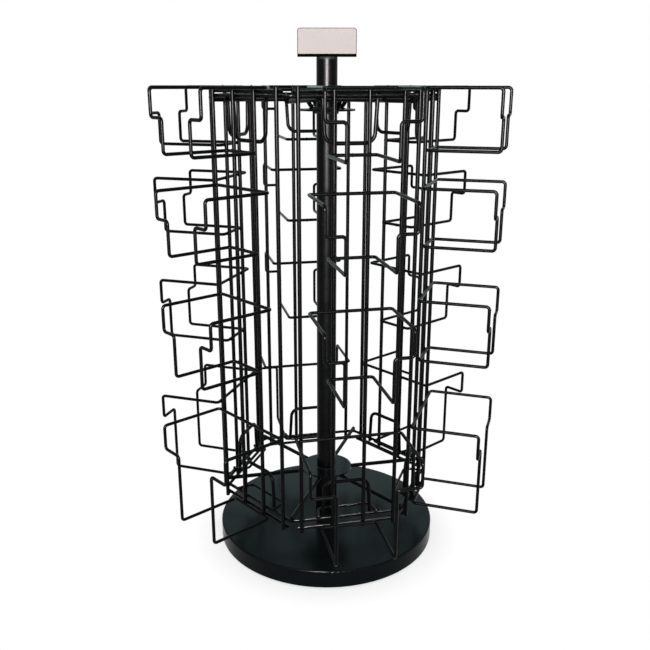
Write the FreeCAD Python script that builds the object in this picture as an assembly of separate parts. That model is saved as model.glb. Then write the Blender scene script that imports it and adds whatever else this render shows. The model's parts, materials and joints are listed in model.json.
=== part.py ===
import FreeCAD, Part
import math
import os
from FreeCAD import Vector

# Rotating postcard stand for a shop counter. Millimetres, +Z up, floor at Z = 0.
# The base and its pole stand still. A six-sided wire rack turns around the pole.

# Base: a pressed steel pan over a flat iron weight
base_diameter = 254.0
base_height = 21.5
pan_sheet = 1.5
pan_edge_radius = 2.0
pan_floor_gap = 2.0
ballast_side_gap = 1.5
foot_count = 5
foot_edge_gap = 14.0
foot_top_diameter = 20.0
foot_floor_diameter = 17.0

# Pole, its fixing bolt and the sleeve that carries the rack
pole_diameter = 22.0
pole_wall = 1.5
pole_rise_above_rack = 30.0
bolt_diameter = 8.0
bolt_head_across_flats = 13.0
bolt_head_height = 5.3
bolt_floor_gap = 1.2
bolt_washer_diameter = 24.0
bolt_washer_thickness = 2.0
bolt_reach_into_plug = 16.0
foot_plug_length = 24.0
cap_head_height = 2.5
cap_edge_radius = 1.5
cap_plug_length = 14.0
sleeve_length = 56.7
sleeve_wall = 1.5
thrust_washer_thickness = 1.5

# Hub discs, bushes and spokes
disc_diameter = 60.0
disc_thickness = 2.0
bush_wall = 1.5
bush_flange_width = 1.45
bush_flange_thickness = 2.0
bush_tail = 3.0
spoke_wire = 4.5
spoke_inner_gap = 0.4
spoke_overhang = 1.5
spoke_joggle = 7.5
spoke_ramp_run = 4.3
spoke_foot_length = 2.5
spoke_bend_radius = 4.0

# Two hexagonal rings that join the panels
ring_wire = 3.5
ring_bend_radius = 9.0
upper_ring_drop = 8.0

# Six flat panels of upright wires
panel_count = 6
upright_wire = 4.2
upright_count = 4
upright_corner_gap = 12.2
upright_overhang = 3.5
upright_top_rise = 1.0
cross_wire = 3.5
cross_overhang = 2.0
lower_cross_gap = 9.0
upper_cross_drop = 3.4
rack_turn = 12.4

# U-shaped braces behind the rings
brace_wire = 4.0
upper_brace_depth = 42.25
lower_brace_depth = 40.2
brace_half_width = 26.5
brace_taper = 2.5
brace_overhang = 2.0
brace_bend_radius = 10.0

# Flat U-shaped loops that lie on the rings and reach into the rack
loop_wire = 3.0
loop_reach = 15.7
loop_taper = 3.5
loop_overhang = 1.0
loop_bend_radius = 6.0
loop_brace_gap = 0.3

# Pockets, each one closed loop of bent wire, named from the top tier down
pocket_wire = 3.4
pocket_bend_radius = 3.5
pocket_side_gap = 9.4
postcard_upper_width = 84.5
postcard_lower_width = 47.2
postcard_depth = 72.5
large_upper_width = 111.5
large_lower_width = 60.5
large_depth = 71.3
step_drop = 27.0
top_pocket_height = 60.2
upper_pocket_height = 61.9
lower_pocket_height = 71.3
bottom_pocket_height = 103.5
bottom_pocket_rise = 2.0
gap_below_top = 35.6
gap_below_upper = 53.3
gap_below_lower = 65.2

# Sign holder on the pole
sign_width = 60.6
sign_height = 25.0
sign_plate_thickness = 1.2
sign_corner_radius = 3.0
sign_rim = 0.6
sign_card_thickness = 0.8
sign_foot_depth = 14.0
sign_foot_thickness = 2.7
sign_screw_diameter = 4.0
sign_screw_head_diameter = 7.0
sign_screw_head_height = 1.75
sign_screw_head_round = 1.4
sign_screw_length = 12.0

# Fits
running_clearance = 0.05
push_clearance = 0.03
bolt_clearance = 0.5
thrust_gap = 0.3
wire_end_round = 0.8

# Levels worked out from the sizes above
ballast_bottom = bolt_floor_gap + bolt_head_height + bolt_washer_thickness
ballast_top = base_height - pan_sheet
sleeve_top = base_height + sleeve_length
thrust_washer_top = sleeve_top + thrust_washer_thickness
lower_disc_bottom = thrust_washer_top + thrust_gap + bush_flange_thickness
lower_spoke_level = lower_disc_bottom - spoke_wire / 2
lower_ring_level = lower_spoke_level - spoke_wire / 2 - ring_wire / 2
lower_loop_level = lower_ring_level + ring_wire / 2 + loop_wire / 2
rack_bottom = lower_ring_level - lower_cross_gap
bottom_pocket_top = rack_bottom + bottom_pocket_rise + bottom_pocket_height
lower_pocket_top = bottom_pocket_top + gap_below_lower + lower_pocket_height
upper_pocket_top = lower_pocket_top + gap_below_upper + upper_pocket_height
rack_top = upper_pocket_top + gap_below_top + top_pocket_height
upper_cross_level = rack_top - upper_cross_drop
upper_ring_level = rack_top - upper_ring_drop
upper_loop_level = upper_ring_level - ring_wire / 2 - loop_wire / 2
upper_spoke_level = upper_ring_level - ring_wire / 2 - spoke_wire / 2
upper_disc_top = upper_spoke_level - spoke_joggle - spoke_wire / 2
pole_top = rack_top + pole_rise_above_rack
tube_top = pole_top - cap_head_height

# Radii and spacings worked out from the sizes above
base_radius = base_diameter / 2
ballast_radius = base_radius - pan_sheet - ballast_side_gap
foot_circle_radius = ballast_radius - foot_edge_gap - foot_top_diameter / 2
pole_radius = pole_diameter / 2
tube_bore_radius = pole_radius - pole_wall
running_bore_radius = pole_radius + running_clearance
bush_radius = running_bore_radius + bush_wall
bush_flange_radius = bush_radius + bush_flange_width
half_side_per_radius = math.tan(math.pi / panel_count)
pocket_back_radius = (large_upper_width / 2 + pocket_side_gap) / half_side_per_radius
panel_radius = pocket_back_radius - pocket_wire / 2 - upright_wire / 2
outer_upright = panel_radius * half_side_per_radius - upright_corner_gap
upright_pitch = 2 * outer_upright / (upright_count - 1)
cross_radius = panel_radius - upright_wire / 2 - cross_wire / 2
ring_radius = panel_radius - upright_wire / 2 - ring_wire / 2
brace_radius = ring_radius - ring_wire / 2 - brace_wire / 2
loop_radius = ring_radius - loop_reach
loop_end_radius = ring_radius + ring_wire / 2 + loop_overhang
loop_middle_half_width = brace_half_width + brace_wire / 2 + loop_brace_gap + loop_wire / 2
ring_bend_centre = (ring_radius - ring_bend_radius) / math.cos(math.pi / panel_count)
spoke_inner_radius = bush_flange_radius + spoke_inner_gap
spoke_outer_radius = ring_bend_centre + ring_bend_radius + spoke_overhang

AXIS = Vector(0, 0, 1)
ORIGIN = Vector(0, 0, 0)
PANEL_STEP = 360.0 / panel_count


def turned(shape, angle):
    copy = shape.copy()
    copy.rotate(ORIGIN, AXIS, angle)
    return copy


def ring(outer_radius, inner_radius, bottom, height):
    outer = Part.makeCylinder(outer_radius, height, Vector(0, 0, bottom))
    return outer.cut(Part.makeCylinder(inner_radius, height, Vector(0, 0, bottom)))


def circles_at(shape, level):
    return [e for e in shape.Edges if abs(e.BoundBox.ZMin - level) < 1e-6 and e.BoundBox.ZLength < 1e-6]


def rod(start, end, diameter):
    """A straight wire with its cut ends rounded by the coating."""
    run = end - start
    wire = Part.makeCylinder(diameter / 2, run.Length, start, run)
    rims = [e for e in wire.Edges if e.Closed]
    return wire.makeFillet(wire_end_round, rims)


def bent_wire(points, diameter, bend_radius, closed=False):
    """One round wire: straight runs between the points, with a rounded bend at each corner."""
    count = len(points)
    corners = range(count) if closed else range(1, count - 1)
    arrive = dict(enumerate(points))
    leave = dict(enumerate(points))
    pieces = []
    for i in corners:
        back = (points[i - 1] - points[i]).normalize()
        ahead = (points[(i + 1) % count] - points[i]).normalize()
        turn = math.pi - back.getAngle(ahead)
        setback = bend_radius * math.tan(turn / 2)
        arrive[i] = points[i] + back * setback
        leave[i] = points[i] + ahead * setback
        centre = points[i] + (back + ahead).normalize() * (bend_radius / math.cos(turn / 2))
        hinge = (arrive[i] - centre).cross(leave[i] - centre)
        section = Part.Face(Part.Wire(Part.makeCircle(diameter / 2, arrive[i], back)))
        pieces.append(section.revolve(centre, hinge, math.degrees(turn)))
    for i in range(count if closed else count - 1):
        run = arrive[(i + 1) % count] - leave[i]
        pieces.append(Part.makeCylinder(diameter / 2, run.Length, leave[i], run))
    wire = pieces[0].fuse(pieces[1:])
    if closed:
        return wire
    return wire.makeFillet(wire_end_round, end_rims(wire, points))


def end_rims(wire, points):
    ends = (points[0], points[-1])
    rims = [e for e in wire.Edges if e.Closed and isinstance(e.Curve, Part.Circle)]
    return [e for e in rims if any(e.Curve.Center.isEqual(p, 1e-6) for p in ends)]


def base_pan():
    pan_bottom = pan_floor_gap
    height = base_height - pan_bottom
    outside = Part.makeCylinder(base_radius, height, Vector(0, 0, pan_bottom))
    outside = outside.makeFillet(pan_edge_radius, circles_at(outside, base_height))
    inside = Part.makeCylinder(base_radius - pan_sheet, ballast_top - pan_bottom, Vector(0, 0, pan_bottom))
    inside = inside.makeFillet(pan_edge_radius - pan_sheet, circles_at(inside, ballast_top))
    bolt_hole = Part.makeCylinder(bolt_diameter / 2 + bolt_clearance, base_height)
    return outside.cut(inside).cut(bolt_hole)


def base_ballast():
    hole_radius = bolt_diameter / 2 + bolt_clearance
    return ring(ballast_radius, hole_radius, ballast_bottom, ballast_top - ballast_bottom)


def base_feet():
    centre = Vector(0, -foot_circle_radius, 0)
    foot = Part.makeCone(foot_floor_diameter / 2, foot_top_diameter / 2, ballast_bottom, centre)
    return [turned(foot, 360.0 * i / foot_count) for i in range(foot_count)]


def pole_bolt():
    head_top = ballast_bottom - bolt_washer_thickness
    corner = bolt_head_across_flats / 2 / math.cos(math.pi / 6)
    angles = [math.radians(60 * i) for i in range(7)]
    head_bottom = head_top - bolt_head_height
    outline = [Vector(corner * math.cos(a), corner * math.sin(a), head_bottom) for a in angles]
    head = Part.Face(Part.makePolygon(outline)).extrude(AXIS * bolt_head_height)
    shank_length = base_height - head_top + bolt_reach_into_plug
    return head.fuse(Part.makeCylinder(bolt_diameter / 2, shank_length, Vector(0, 0, head_top)))


def pole_bolt_washer():
    bottom = ballast_bottom - bolt_washer_thickness
    return ring(bolt_washer_diameter / 2, bolt_diameter / 2 + bolt_clearance, bottom, bolt_washer_thickness)


def pole_tube():
    return ring(pole_radius, tube_bore_radius, base_height, tube_top - base_height)


def pole_foot_plug():
    thread_radius = bolt_diameter / 2 + push_clearance
    return ring(tube_bore_radius - push_clearance, thread_radius, base_height, foot_plug_length)


def pole_top_cap():
    head = Part.makeCylinder(pole_radius, cap_head_height, Vector(0, 0, tube_top))
    head = head.makeFillet(cap_edge_radius, circles_at(head, pole_top))
    plug_bottom = tube_top - cap_plug_length
    plug = Part.makeCylinder(tube_bore_radius - push_clearance, cap_plug_length, Vector(0, 0, plug_bottom))
    pilot_radius = sign_screw_diameter / 2 + push_clearance
    pilot = Part.makeCylinder(pilot_radius, cap_plug_length + cap_head_height, Vector(0, 0, plug_bottom))
    return head.fuse(plug).cut(pilot)


def support_sleeve():
    return ring(running_bore_radius + sleeve_wall, running_bore_radius, base_height, sleeve_length)


def thrust_washer():
    return ring(bush_flange_radius, running_bore_radius, sleeve_top, thrust_washer_thickness)


def sign_foot_bar():
    corner = Vector(-sign_width / 2, -sign_foot_depth / 2, pole_top)
    bar = Part.makeBox(sign_width, sign_foot_depth, sign_foot_thickness, corner)
    hole_radius = sign_screw_diameter / 2 + push_clearance
    hole = Part.makeCylinder(hole_radius, sign_foot_thickness, Vector(0, 0, pole_top))
    return bar.cut(hole)


def rounded_plate(width, height, thickness, corner_radius, bottom, front):
    """An upright plate facing -Y with its two upper corners rounded."""
    plate = Part.makeBox(width, thickness, height, Vector(-width / 2, front, bottom))
    top = bottom + height
    edges = [e for e in plate.Edges if e.BoundBox.ZMin > top - 1e-6 and e.BoundBox.XLength < 1e-6]
    return plate.makeFillet(corner_radius, edges)


def sign_back_plate():
    bottom = pole_top + sign_foot_thickness
    front = -sign_foot_depth / 2 + sign_card_thickness
    return rounded_plate(sign_width, sign_height, sign_plate_thickness, sign_corner_radius, bottom, front)


def sign_card():
    bottom = pole_top + sign_foot_thickness
    width = sign_width - 2 * sign_rim
    height = sign_height - sign_rim
    corner = sign_corner_radius - sign_rim
    return rounded_plate(width, height, sign_card_thickness, corner, bottom, -sign_foot_depth / 2)


def sign_screw():
    head_bottom = pole_top + sign_foot_thickness
    shank_bottom = head_bottom - sign_screw_length
    shank = Part.makeCylinder(sign_screw_diameter / 2, sign_screw_length, Vector(0, 0, shank_bottom))
    head = Part.makeCylinder(sign_screw_head_diameter / 2, sign_screw_head_height, Vector(0, 0, head_bottom))
    head = head.makeFillet(sign_screw_head_round, circles_at(head, head_bottom + sign_screw_head_height))
    return shank.fuse(head)


def hub_disc(bottom):
    return ring(disc_diameter / 2, bush_radius + push_clearance, bottom, disc_thickness)


def lower_bush():
    flange_bottom = lower_disc_bottom - bush_flange_thickness
    flange = ring(bush_flange_radius, running_bore_radius, flange_bottom, bush_flange_thickness)
    return flange.fuse(ring(bush_radius, running_bore_radius, lower_disc_bottom, disc_thickness))


def upper_bush():
    flange = ring(bush_flange_radius, running_bore_radius, upper_disc_top, bush_flange_thickness)
    body_length = disc_thickness + bush_tail
    body = ring(bush_radius, running_bore_radius, upper_disc_top - body_length, body_length)
    return flange.fuse(body)


def around_corners(spoke):
    return [turned(spoke, rack_turn + PANEL_STEP * (k + 0.5)) for k in range(panel_count)]


def lower_spokes():
    inner = Vector(0, -spoke_inner_radius, lower_spoke_level)
    outer = Vector(0, -spoke_outer_radius, lower_spoke_level)
    return around_corners(rod(inner, outer, spoke_wire))


def upper_spokes():
    foot_level = upper_disc_top + spoke_wire / 2
    foot_end = spoke_inner_radius + spoke_foot_length
    ramp_end = foot_end + spoke_ramp_run
    path = [
        Vector(0, -spoke_inner_radius, foot_level),
        Vector(0, -foot_end, foot_level),
        Vector(0, -ramp_end, upper_spoke_level),
        Vector(0, -spoke_outer_radius, upper_spoke_level),
    ]
    return around_corners(bent_wire(path, spoke_wire, spoke_bend_radius))


def frame_ring(level):
    """A hexagon of wire with rounded corners, one side behind each panel."""
    corner = Vector(0, -ring_radius / math.cos(math.pi / panel_count), level)
    turns = [FreeCAD.Rotation(AXIS, rack_turn + PANEL_STEP * (k + 0.5)) for k in range(panel_count)]
    return bent_wire([t.multVec(corner) for t in turns], ring_wire, ring_bend_radius, closed=True)


def panel_place(shape, k):
    return turned(shape, rack_turn + PANEL_STEP * k)


def panel_uprights():
    bottom = rack_bottom - upright_overhang
    top = rack_top + upright_top_rise
    uprights = []
    for i in range(upright_count):
        x = upright_pitch * i - outer_upright
        uprights.append(rod(Vector(x, -panel_radius, bottom), Vector(x, -panel_radius, top), upright_wire))
    return uprights


def panel_cross_wires():
    reach = outer_upright + upright_wire / 2 + cross_overhang
    wires = []
    for level in (rack_bottom, upper_cross_level):
        left = Vector(-reach, -cross_radius, level)
        right = Vector(reach, -cross_radius, level)
        wires.append(rod(left, right, cross_wire))
    return wires


def brace(open_level, closed_level):
    """A U of wire in the panel's plane, wider at its open end."""
    narrow = brace_half_width - brace_taper
    path = [
        Vector(-brace_half_width, -brace_radius, open_level),
        Vector(-narrow, -brace_radius, closed_level),
        Vector(narrow, -brace_radius, closed_level),
        Vector(brace_half_width, -brace_radius, open_level),
    ]
    return bent_wire(path, brace_wire, brace_bend_radius)


def inner_loop(level):
    """A flat U of wire across one side of a ring, wider at its open end."""
    wide = loop_middle_half_width + loop_taper / 2
    narrow = loop_middle_half_width - loop_taper / 2
    path = [
        Vector(-wide, -loop_end_radius, level),
        Vector(-narrow, -loop_radius, level),
        Vector(narrow, -loop_radius, level),
        Vector(wide, -loop_end_radius, level),
    ]
    return bent_wire(path, loop_wire, loop_bend_radius)


def pocket(top, height, upper_width, lower_width, depth):
    """Back wire, arms and stepped fronts of one pocket, bent from a single closed wire."""
    bottom = top - height
    step = top - step_drop
    back = -pocket_back_radius
    front = back - depth
    wide = upper_width / 2
    narrow = lower_width / 2
    right = [
        Vector(wide, back, top),
        Vector(wide, front, top),
        Vector(wide, front, step),
        Vector(narrow, front, step),
        Vector(narrow, front, bottom),
        Vector(narrow, back, bottom),
    ]
    left = [Vector(-p.x, p.y, p.z) for p in reversed(right)]
    return bent_wire(right + left, pocket_wire, pocket_bend_radius, closed=True)


def panel_pockets():
    postcard = (postcard_upper_width, postcard_lower_width, postcard_depth)
    large = (large_upper_width, large_lower_width, large_depth)
    return {
        "top_pocket": pocket(rack_top, top_pocket_height, *postcard),
        "upper_pocket": pocket(upper_pocket_top, upper_pocket_height, *postcard),
        "lower_pocket": pocket(lower_pocket_top, lower_pocket_height, *postcard),
        "bottom_pocket": pocket(bottom_pocket_top, bottom_pocket_height, *large),
    }


def stand_nodes():
    return {
        "base_pan": [base_pan()],
        "base_ballast": [base_ballast()],
        "base_feet": base_feet(),
        "pole_bolt": [pole_bolt()],
        "pole_bolt_washer": [pole_bolt_washer()],
        "pole_tube": [pole_tube()],
        "pole_foot_plug": [pole_foot_plug()],
        "pole_top_cap": [pole_top_cap()],
        "support_sleeve": [support_sleeve()],
        "thrust_washer": [thrust_washer()],
        "sign_foot_bar": [sign_foot_bar()],
        "sign_back_plate": [sign_back_plate()],
        "sign_card": [sign_card()],
        "sign_screw": [sign_screw()],
    }


def rack_nodes():
    top_brace = brace(upper_ring_level + brace_overhang, upper_ring_level - upper_brace_depth)
    bottom_brace = brace(lower_ring_level - brace_overhang, lower_ring_level + lower_brace_depth)
    loops = [inner_loop(level) for level in (lower_loop_level, upper_loop_level)]
    uprights = panel_uprights()
    cross_wires = panel_cross_wires()
    pockets = panel_pockets()
    panels = range(panel_count)
    nodes = {
        "lower_hub_disc": [hub_disc(lower_disc_bottom)],
        "upper_hub_disc": [hub_disc(upper_disc_top - disc_thickness)],
        "lower_bush": [lower_bush()],
        "upper_bush": [upper_bush()],
        "lower_spokes": lower_spokes(),
        "upper_spokes": upper_spokes(),
        "frame_rings": [frame_ring(level) for level in (lower_ring_level, upper_ring_level)],
        "upper_braces": [panel_place(top_brace, k) for k in panels],
        "lower_braces": [panel_place(bottom_brace, k) for k in panels],
        "inner_loops": [panel_place(loop, k) for loop in loops for k in panels],
    }
    for k in panels:
        panel = "panel_%d_" % (k + 1)
        nodes[panel + "uprights"] = [panel_place(wire, k) for wire in uprights]
        nodes[panel + "cross_wires"] = [panel_place(wire, k) for wire in cross_wires]
        for name, loop in pockets.items():
            nodes[panel + name] = [panel_place(loop, k)]
    return nodes


def main():
    os.makedirs("parts", exist_ok=True)
    nodes = {**stand_nodes(), **rack_nodes()}
    for name, solids in nodes.items():
        shape = solids[0] if len(solids) == 1 else Part.makeCompound(solids)
        shape.exportStep("parts/%s.step" % name)
    print(len(nodes), "nodes, overall height", round(pole_top + sign_foot_thickness + sign_height, 2))


main()
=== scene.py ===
import bpy
import bmesh
import json
import math
import random
from mathutils import Matrix, Vector


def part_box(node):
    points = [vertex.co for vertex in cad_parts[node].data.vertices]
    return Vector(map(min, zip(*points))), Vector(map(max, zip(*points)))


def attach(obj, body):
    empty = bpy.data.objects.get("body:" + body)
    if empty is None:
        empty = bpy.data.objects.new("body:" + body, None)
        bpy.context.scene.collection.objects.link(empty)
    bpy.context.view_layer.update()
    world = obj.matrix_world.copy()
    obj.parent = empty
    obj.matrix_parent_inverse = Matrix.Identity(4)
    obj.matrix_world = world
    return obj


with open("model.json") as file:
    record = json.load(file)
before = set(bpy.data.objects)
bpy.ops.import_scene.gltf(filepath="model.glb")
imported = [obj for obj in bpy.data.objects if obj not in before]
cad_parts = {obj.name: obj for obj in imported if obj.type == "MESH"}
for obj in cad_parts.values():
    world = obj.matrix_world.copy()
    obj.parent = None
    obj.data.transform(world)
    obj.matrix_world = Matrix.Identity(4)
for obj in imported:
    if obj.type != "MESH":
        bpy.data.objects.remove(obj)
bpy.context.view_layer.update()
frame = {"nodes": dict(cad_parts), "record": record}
nodes = frame["nodes"]
record = frame["record"]

QUARTER_TURN = math.radians(90)

# Camera, in metres, degrees and pixels of a square picture, with its sensor in millimetres
PICTURE_SIDE = 650
FOCAL_PIXELS = 786.4
SENSOR_WIDTH = 36.0
CAMERA_PLACE = Vector((0.0, -0.8571, 0.5232))
CAMERA_TILT = 17.062
CAMERA_YAW = -0.115
CAMERA_ROLL = 0.06
NEAREST_SEEN = 0.01

# Rack layout, in metres and degrees
PANELS = range(1, 7)
FRONT_PANELS = (6, 1, 2)
PANEL_STEP = 60.0
RACK_TURN = 12.4
RING_WIRE = 0.0035
CROSS_WIRE = 0.0035
POCKET_WIRE = 0.0034
BRACE_HALF_WIDTH = 0.0263
LOOP_HALF_WIDTH = 0.0315
POCKETS = ("top_pocket", "upper_pocket", "lower_pocket", "bottom_pocket")
LOW_LEVEL_WIRES = ("frame_rings", "inner_loops", "panel_1_cross_wires")

# Weld beads, in metres: half sizes along the wires and across the joint
CROSSING_BEAD = (0.0021, 0.0021, 0.0011)
SEAM_BEAD = (0.0013, 0.0019, 0.0019)
SPOKE_BEAD = (0.0032, 0.0027, 0.0012)
LOWER_HUB_BEAD = (0.0052, 0.0030, 0.0011)
UPPER_HUB_BEAD = (0.0030, 0.0030, 0.0012)
LOWER_HUB_WELD_RADIUS = 0.0245
UPPER_HUB_WELD_RADIUS = 0.0172
CORNER_WELD_RADIUS = 0.1201
BEAD_UNEVENNESS = 0.16
BEAD_SUBDIVISIONS = 2
BEAD_SEED = 7

# Paint colours, and how much brighter than worn paint a speck of dust is. The base and disc paint is
# near-black, and the teal tint in its two colours is painted reflection of cool light
BLACK = (0.0010, 0.0012, 0.0014)
WORN_BLACK = (0.0020, 0.0023, 0.0025)
# Near-black paint for the base and discs, tinted teal: the tint is painted reflection of cool overhead light
BLACK_WITH_PAINTED_TEAL_REFLECTION = (0.0019, 0.0036, 0.0042)
WORN_BLACK_WITH_PAINTED_TEAL_REFLECTION = (0.0026, 0.0045, 0.0052)
DUST_BRIGHTNESS = 3.0

# Lamps: where each stands and the point that it faces, in metres, then colours and the angles of their beams
FRONT = ((0.0, -1.35, 0.60), (0.0, 0.0, 0.45))
HIGH_FRONT = ((0.0, -0.85, 1.35), (0.0, 0.0, 0.02))
OVER_LOW_WIRES = ((0.0, -0.63, 1.37), (0.0, -0.1, 0.07))
OVERHEAD = ((0.0, -0.1, 1.7), (0.0, 0.0, 0.2))
REAR = ((0.0, 1.6, 0.95), (0.0, 0.0, 0.2))
WHITE_LIGHT = (1.0, 1.0, 1.0)
WARM_LIGHT = (1.0, 0.93, 0.93)
COOL_LIGHT = (0.45, 1.0, 1.0)
OPEN_BEAM = 180.0
NARROW_BEAM = 20.0

# Surroundings: light from all round, and a floor, in metres, that turns to plain white between two distances
AMBIENT_STRENGTH = 0.40
BACKGROUND_STRENGTH = 1.0
FLOOR_RADIUS = 4.0
FLOOR_SIDES = 96
FLOOR_COLOUR = (0.9, 0.9, 0.9, 1.0)
FLOOR_FADE = (0.06, 0.16)

# Colour sockets of a Mix node, which share their names with its other sockets
MIX_FIRST = 6
MIX_SECOND = 7
MIX_RESULT = 2


# Node helpers

def new_material(name):
    material = bpy.data.materials.new(name)
    material.use_nodes = True
    tree = material.node_tree
    tree.nodes.clear()
    output = tree.nodes.new("ShaderNodeOutputMaterial")
    shader = tree.nodes.new("ShaderNodeBsdfPrincipled")
    tree.links.new(shader.outputs["BSDF"], output.inputs["Surface"])
    return material, tree, shader


def position(tree):
    return tree.nodes.new("ShaderNodeTexCoord").outputs["Object"]


def noise(tree, scale, detail=3.0, rough=0.5):
    texture = tree.nodes.new("ShaderNodeTexNoise")
    texture.inputs["Scale"].default_value = scale
    texture.inputs["Detail"].default_value = detail
    texture.inputs["Roughness"].default_value = rough
    tree.links.new(position(tree), texture.inputs["Vector"])
    return texture.outputs["Fac"]


def spread(tree, value, source, target=(0.0, 1.0)):
    """A value moved from one range to another, and held at the ends."""
    node = tree.nodes.new("ShaderNodeMapRange")
    node.inputs["From Min"].default_value = source[0]
    node.inputs["From Max"].default_value = source[1]
    node.inputs["To Min"].default_value = target[0]
    node.inputs["To Max"].default_value = target[1]
    tree.links.new(value, node.inputs["Value"])
    return node.outputs["Result"]


def mix_colour(tree, factor, first, second):
    node = tree.nodes.new("ShaderNodeMix")
    node.data_type = "RGBA"
    tree.links.new(factor, node.inputs["Factor"])
    for socket, value in ((node.inputs[MIX_FIRST], first), (node.inputs[MIX_SECOND], second)):
        if isinstance(value, bpy.types.NodeSocket):
            tree.links.new(value, socket)
        else:
            socket.default_value = (*value, 1.0)
    return node.outputs[MIX_RESULT]


def bump(tree, shader, height, strength, depth):
    node = tree.nodes.new("ShaderNodeBump")
    node.inputs["Strength"].default_value = strength
    node.inputs["Distance"].default_value = depth
    tree.links.new(height, node.inputs["Height"])
    tree.links.new(node.outputs["Normal"], shader.inputs["Normal"])


# Materials

def powder_coat(name, colour, worn, rough, unevenness, gloss, peel_scale, peel_depth):
    """Sprayed powder paint: a fine orange peel, uneven gloss, worn patches and specks of dust."""
    material, tree, shader = new_material(name)
    patches = spread(tree, noise(tree, scale=60.0, detail=4.0), (0.35, 0.7))
    specks = spread(tree, noise(tree, scale=1900.0, detail=2.0), (0.70, 0.78))
    dust = tuple(DUST_BRIGHTNESS * channel for channel in worn)
    film = mix_colour(tree, patches, colour, worn)
    tree.links.new(mix_colour(tree, specks, film, dust), shader.inputs["Base Color"])
    clouds = noise(tree, scale=140.0, detail=5.0, rough=0.6)
    gloss_map = spread(tree, clouds, (0.3, 0.7), (rough - unevenness, rough + unevenness))
    tree.links.new(gloss_map, shader.inputs["Roughness"])
    shader.inputs["Specular IOR Level"].default_value = gloss
    bump(tree, shader, noise(tree, scale=peel_scale, detail=2.0), strength=0.25, depth=peel_depth)
    return material


def wire_coat():
    return powder_coat("wire_powder_coat", BLACK, WORN_BLACK, rough=0.30, unevenness=0.04, gloss=0.037,
                       peel_scale=1500.0, peel_depth=0.00004)


def base_coat():
    return powder_coat("base_powder_coat", BLACK_WITH_PAINTED_TEAL_REFLECTION, WORN_BLACK_WITH_PAINTED_TEAL_REFLECTION, rough=0.22, unevenness=0.02, gloss=0.036,
                       peel_scale=1100.0, peel_depth=0.00002)


def disc_coat():
    return powder_coat("disc_powder_coat", BLACK_WITH_PAINTED_TEAL_REFLECTION, WORN_BLACK_WITH_PAINTED_TEAL_REFLECTION, rough=0.22, unevenness=0.02, gloss=0.042,
                       peel_scale=1100.0, peel_depth=0.00002)


def pole_coat():
    return powder_coat("pole_powder_coat", BLACK, WORN_BLACK, rough=0.32, unevenness=0.04, gloss=0.05,
                       peel_scale=1200.0, peel_depth=0.00003)


def sign_coat():
    return powder_coat("sign_powder_coat", BLACK, WORN_BLACK, rough=0.60, unevenness=0.04, gloss=0.02,
                       peel_scale=1500.0, peel_depth=0.00004)


def rubber():
    material, tree, shader = new_material("soft_rubber")
    shade = spread(tree, noise(tree, scale=300.0, detail=4.0), (0.3, 0.7))
    colour = mix_colour(tree, shade, (0.012, 0.012, 0.012), (0.03, 0.029, 0.028))
    tree.links.new(colour, shader.inputs["Base Color"])
    shader.inputs["Roughness"].default_value = 0.85
    bump(tree, shader, noise(tree, scale=1800.0), strength=0.4, depth=0.0001)
    return material


def zinc_plate():
    material, tree, shader = new_material("zinc_plate")
    bloom = spread(tree, noise(tree, scale=420.0, detail=5.0, rough=0.65), (0.35, 0.68))
    colour = mix_colour(tree, bloom, (0.58, 0.57, 0.54), (0.42, 0.43, 0.44))
    tree.links.new(colour, shader.inputs["Base Color"])
    tree.links.new(spread(tree, bloom, (0.0, 1.0), (0.28, 0.46)), shader.inputs["Roughness"])
    shader.inputs["Metallic"].default_value = 1.0
    bump(tree, shader, noise(tree, scale=1500.0, detail=2.0), strength=0.15, depth=0.00005)
    return material


def cut_iron():
    material, tree, shader = new_material("cut_iron")
    rust = spread(tree, noise(tree, scale=90.0, detail=6.0, rough=0.65), (0.4, 0.62))
    colour = mix_colour(tree, rust, (0.06, 0.06, 0.065), (0.13, 0.105, 0.085))
    tree.links.new(colour, shader.inputs["Base Color"])
    tree.links.new(spread(tree, rust, (0.0, 1.0), (0.45, 0.75)), shader.inputs["Roughness"])
    shader.inputs["Metallic"].default_value = 0.6
    bump(tree, shader, noise(tree, scale=500.0, detail=5.0), strength=0.4, depth=0.0002)
    return material


def nylon():
    material, tree, shader = new_material("black_nylon")
    shade = spread(tree, noise(tree, scale=200.0), (0.3, 0.7))
    colour = mix_colour(tree, shade, (0.016, 0.016, 0.017), (0.028, 0.028, 0.029))
    tree.links.new(colour, shader.inputs["Base Color"])
    shader.inputs["Roughness"].default_value = 0.5
    shader.inputs["Specular IOR Level"].default_value = 0.08
    bump(tree, shader, noise(tree, scale=2400.0, detail=2.0), strength=0.2, depth=0.00005)
    return material


def sign_face():
    """A plain pale card with fine mottling and faint clouds."""
    material, tree, shader = new_material("pale_sign_card")
    mottle = spread(tree, noise(tree, scale=900.0, rough=0.6), (0.3, 0.7))
    face = mix_colour(tree, mottle, (0.64, 0.565, 0.55), (0.76, 0.685, 0.67))
    cloud = spread(tree, noise(tree, scale=40.0, detail=2.0), (0.35, 0.65), (0.0, 0.6))
    tree.links.new(mix_colour(tree, cloud, face, (0.66, 0.60, 0.59)), shader.inputs["Base Color"])
    shader.inputs["Roughness"].default_value = 0.8
    shader.inputs["Specular IOR Level"].default_value = 0.03
    bump(tree, shader, noise(tree, scale=1600.0, detail=2.0), strength=0.08, depth=0.00004)
    return material


def make_materials():
    """One material for each of the record's slots."""
    return {
        "wire_coat": wire_coat(),
        "base_coat": base_coat(),
        "disc_coat": disc_coat(),
        "pole_coat": pole_coat(),
        "sign_coat": sign_coat(),
        "cap_plastic": nylon(),
        "nylon": nylon(),
        "rubber": rubber(),
        "zinc": zinc_plate(),
        "iron": cut_iron(),
        "sign_face": sign_face(),
    }


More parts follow.
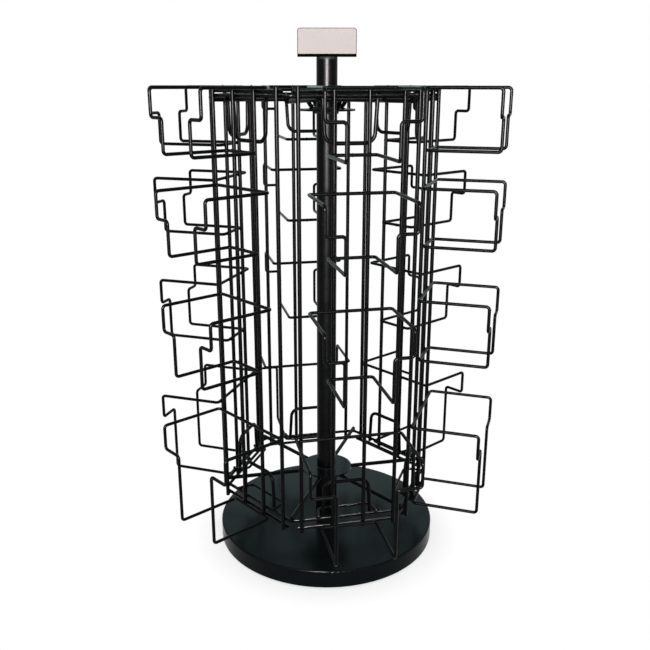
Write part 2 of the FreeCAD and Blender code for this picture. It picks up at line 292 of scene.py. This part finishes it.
def paint_nodes(materials):
    for subpart in record["subparts"]:
        mesh = nodes[subpart["node"]].data
        mesh.materials.clear()
        mesh.materials.append(materials[subpart["material_slot"]])


# Weld beads

def rack_turn(panel):
    """Turns a point in front of the pole to its place on a panel, or on a corner for a half number."""
    return Matrix.Rotation(math.radians(RACK_TURN + PANEL_STEP * (panel - 1)), 4, "Z")


def panel_extent(node, panel):
    """A node's lowest and highest corners with its panel turned to the front."""
    back = rack_turn(panel).inverted()
    points = [back @ vertex.co for vertex in nodes[node].data.vertices]
    low = Vector([min(p[axis] for p in points) for axis in range(3)])
    high = Vector([max(p[axis] for p in points) for axis in range(3)])
    return low, high


def wire_levels(node, wire):
    """Heights of the lowest and highest wires of a node."""
    low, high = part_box(node)
    return low.z + wire / 2, high.z - wire / 2


def add_bead(shape, place, half_sizes, dice):
    """One lump of weld: an uneven ball, flattened across the joint."""
    ball = bmesh.ops.create_icosphere(shape, subdivisions=BEAD_SUBDIVISIONS, radius=1.0)["verts"]
    sizes = [size * (1 + BEAD_UNEVENNESS * dice.uniform(-1, 1)) for size in half_sizes]
    for vertex in ball:
        swell = 1 + BEAD_UNEVENNESS * dice.uniform(-0.5, 0.5)
        local = Vector([vertex.co[axis] * sizes[axis] * swell for axis in range(3)])
        vertex.co = place @ local


def bead_piece(name, beads, dice, material):
    """A mesh of beads, given as places and half sizes, that turns with the rack."""
    shape = bmesh.new()
    for place, half_sizes in beads:
        add_bead(shape, place, half_sizes, dice)
    for face in shape.faces:
        face.smooth = True
    mesh = bpy.data.meshes.new(name)
    shape.to_mesh(mesh)
    shape.free()
    mesh.materials.append(material)
    piece = bpy.data.objects.new(name, mesh)
    bpy.context.scene.collection.objects.link(piece)
    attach(piece, "rack")


def panel_beads(panel):
    """Welds of one panel: on its uprights, on the ends of its brace and loops, and on its pockets' seams."""
    prefix = "panel_%d_" % panel
    low, high = panel_extent(prefix + "uprights", panel)
    upright_wire = high.y - low.y
    outer = high.x - upright_wire / 2
    columns = [-outer, -outer / 3, outer / 3, outer]
    inner_columns = columns[1:3]
    ring_levels = wire_levels("frame_rings", RING_WIRE)
    ring_middle = high.y + RING_WIRE / 2
    spots = []
    for level in ring_levels + wire_levels(prefix + "cross_wires", CROSS_WIRE):
        spots += [(x, high.y, level) for x in columns]
    for level in ring_levels:
        spots += [(side * BRACE_HALF_WIDTH, high.y + RING_WIRE, level) for side in (-1, 1)]
    for pocket in POCKETS:
        left, right = panel_extent(prefix + pocket, panel)
        bottom_level, top_level = wire_levels(prefix + pocket, POCKET_WIRE)
        spots += [(x, low.y, bottom_level) for x in inner_columns]
        spots += [(x, low.y, top_level) for x in columns if left.x < x < right.x]
    upright_joint = Matrix.Rotation(QUARTER_TURN, 4, "X")
    turn = rack_turn(panel)
    beads = [(turn @ Matrix.Translation(spot) @ upright_joint, CROSSING_BEAD) for spot in spots]
    ring_faces = (ring_levels[0] + RING_WIRE / 2, ring_levels[1] - RING_WIRE / 2)
    for level in ring_faces:
        for side in (-1, 1):
            spot = (side * LOOP_HALF_WIDTH, ring_middle, level)
            beads.append((turn @ Matrix.Translation(spot), CROSSING_BEAD))
    return beads + seam_beads(prefix, panel, low.y)


def seam_beads(prefix, panel, contact):
    """The butt weld that closes each pocket, in the middle of its bottom back wire."""
    beads = []
    for pocket in POCKETS:
        level = wire_levels(prefix + pocket, POCKET_WIRE)[0]
        spot = (0, contact - POCKET_WIRE / 2, level)
        beads.append((rack_turn(panel) @ Matrix.Translation(spot), SEAM_BEAD))
    return beads


def hub_beads():
    """Welds where the spokes cross the rings' corners and where they end on the discs."""
    low_ring, high_ring = wire_levels("frame_rings", RING_WIRE)
    lower_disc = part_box("lower_hub_disc")[0].z
    upper_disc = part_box("upper_hub_disc")[1].z
    spots = [
        (CORNER_WELD_RADIUS, low_ring + RING_WIRE / 2, SPOKE_BEAD),
        (CORNER_WELD_RADIUS, high_ring - RING_WIRE / 2, SPOKE_BEAD),
        (LOWER_HUB_WELD_RADIUS, lower_disc, LOWER_HUB_BEAD),
        (UPPER_HUB_WELD_RADIUS, upper_disc, UPPER_HUB_BEAD),
    ]
    along_spoke = Matrix.Rotation(QUARTER_TURN, 4, "Z")
    beads = []
    for panel in PANELS:
        turn = rack_turn(panel + 0.5)
        for radius, level, half_sizes in spots:
            beads.append((turn @ Matrix.Translation((0, -radius, level)) @ along_spoke, half_sizes))
    return beads


def make_welds(material):
    dice = random.Random(BEAD_SEED)
    for panel in PANELS:
        bead_piece("panel_%d_welds" % panel, panel_beads(panel), dice, material)
    bead_piece("spoke_welds", hub_beads(), dice, material)


# Camera and lamps

def look_along(place, forward, roll=0.0):
    right = forward.cross(Vector((0, 0, 1))).normalized()
    up = right.cross(forward)
    turn = math.radians(roll)
    across = right * math.cos(turn) + up * math.sin(turn)
    upright = up * math.cos(turn) - right * math.sin(turn)
    matrix = Matrix((across, upright, -forward)).transposed().to_4x4()
    matrix.translation = place
    return matrix


def make_camera():
    tilt = math.radians(CAMERA_TILT)
    yaw = math.radians(CAMERA_YAW)
    forward = Vector((math.sin(yaw) * math.cos(tilt), math.cos(yaw) * math.cos(tilt), -math.sin(tilt)))
    data = bpy.data.cameras.new("camera")
    data.sensor_width = SENSOR_WIDTH
    data.lens = FOCAL_PIXELS / PICTURE_SIDE * SENSOR_WIDTH
    data.clip_start = NEAREST_SEEN
    camera = bpy.data.objects.new("camera", data)
    camera.matrix_world = look_along(CAMERA_PLACE, forward, CAMERA_ROLL)
    bpy.context.scene.collection.objects.link(camera)
    bpy.context.scene.camera = camera


def area_light(name, station, width, height, power, colour, gloss_on=None, beam=OPEN_BEAM):
    """A soft lamp without gloss, or one that only shows as gloss on the pieces it is given."""
    place, target = Vector(station[0]), Vector(station[1])
    data = bpy.data.lights.new(name, "AREA")
    data.shape = "RECTANGLE"
    data.size = width
    data.size_y = height
    data.energy = power
    data.color = colour
    data.spread = math.radians(beam)
    light = bpy.data.objects.new(name, data)
    light.matrix_world = look_along(place, (target - place).normalized())
    light.visible_camera = False
    light.visible_diffuse = gloss_on is None
    light.visible_glossy = gloss_on is not None
    bpy.context.scene.collection.objects.link(light)
    if gloss_on:
        shown = bpy.data.collections.new(name + "_pieces")
        for node in gloss_on:
            shown.objects.link(nodes[node])
        light.light_linking.receiver_collection = shown


def upright_pieces():
    """The pole, the standing wires and the upper braces, with the pockets of the three front panels."""
    pieces = ["pole_tube", "pole_top_cap", "support_sleeve", "upper_braces"]
    pieces += ["panel_%d_uprights" % panel for panel in PANELS]
    pieces += ["panel_%d_%s" % (panel, pocket) for panel in FRONT_PANELS for pocket in POCKETS]
    return pieces


def make_lights():
    area_light("front_key", FRONT, width=0.45, height=0.18, power=9.0, colour=WHITE_LIGHT)
    area_light("overhead_soft", OVERHEAD, width=1.4, height=1.4, power=15.0, colour=WHITE_LIGHT)
    area_light("front_gleam", FRONT, width=0.45, height=0.16, power=195.0, colour=WARM_LIGHT,
               gloss_on=upright_pieces())
    area_light("brace_gleam", FRONT, width=0.45, height=0.16, power=45.0, colour=WARM_LIGHT,
               gloss_on=["lower_braces"])
    area_light("low_gleam", OVER_LOW_WIRES, width=0.5, height=0.2, power=20.0, colour=WARM_LIGHT,
               gloss_on=LOW_LEVEL_WIRES, beam=NARROW_BEAM)
    area_light("edge_gleam", HIGH_FRONT, width=0.5, height=0.2, power=240.0, colour=WARM_LIGHT,
               gloss_on=["base_pan"])
    area_light("overhead_gleam", OVERHEAD, width=1.0, height=1.0, power=36.0, colour=COOL_LIGHT,
               gloss_on=list(nodes))
    area_light("rear_gleam", REAR, width=1.8, height=0.7, power=3.5, colour=COOL_LIGHT,
               gloss_on=list(nodes))


# Surroundings

def background_seen(tree):
    """1 for rays that show the background: from the camera, off gloss and through glass."""
    path = tree.nodes.new("ShaderNodeLightPath")
    total = path.outputs["Is Camera Ray"]
    for name in ("Is Glossy Ray", "Is Transmission Ray"):
        node = tree.nodes.new("ShaderNodeMath")
        node.operation = "MAXIMUM"
        tree.links.new(total, node.inputs[0])
        tree.links.new(path.outputs[name], node.inputs[1])
        total = node.outputs["Value"]
    return total


def make_world():
    world = bpy.data.worlds.new("studio")
    world.use_nodes = True
    tree = world.node_tree
    back = tree.nodes["Background"]
    back.inputs["Color"].default_value = (1.0, 1.0, 1.0, 1.0)
    strength = spread(tree, background_seen(tree), (0.0, 1.0), (AMBIENT_STRENGTH, BACKGROUND_STRENGTH))
    tree.links.new(strength, back.inputs["Strength"])
    bpy.context.scene.world = world


def floor_material():
    """Pale and shaded close to the stand, and as white as the background further out."""
    material, tree, shader = new_material("pale_floor")
    shader.inputs["Base Color"].default_value = FLOOR_COLOUR
    shader.inputs["Roughness"].default_value = 0.9
    shader.inputs["Specular IOR Level"].default_value = 0.0
    white = tree.nodes.new("ShaderNodeEmission")
    far = tree.nodes.new("ShaderNodeVectorMath")
    far.operation = "LENGTH"
    tree.links.new(position(tree), far.inputs[0])
    fade = tree.nodes.new("ShaderNodeMath")
    fade.operation = "MULTIPLY"
    tree.links.new(spread(tree, far.outputs["Value"], FLOOR_FADE), fade.inputs[0])
    tree.links.new(background_seen(tree), fade.inputs[1])
    mix = tree.nodes.new("ShaderNodeMixShader")
    tree.links.new(fade.outputs["Value"], mix.inputs["Fac"])
    tree.links.new(shader.outputs["BSDF"], mix.inputs[1])
    tree.links.new(white.outputs["Emission"], mix.inputs[2])
    tree.links.new(mix.outputs["Shader"], tree.nodes["Material Output"].inputs["Surface"])
    return material


def make_floor():
    mesh = bpy.data.meshes.new("floor")
    shape = bmesh.new()
    bmesh.ops.create_circle(shape, cap_ends=True, segments=FLOOR_SIDES, radius=FLOOR_RADIUS)
    shape.to_mesh(mesh)
    shape.free()
    mesh.materials.append(floor_material())
    floor = bpy.data.objects.new("floor", mesh)
    bpy.context.scene.collection.objects.link(floor)


materials = make_materials()
paint_nodes(materials)
make_welds(materials["wire_coat"])
make_camera()
make_lights()
make_world()
make_floor()
bpy.context.scene.view_settings.view_transform = "Standard"
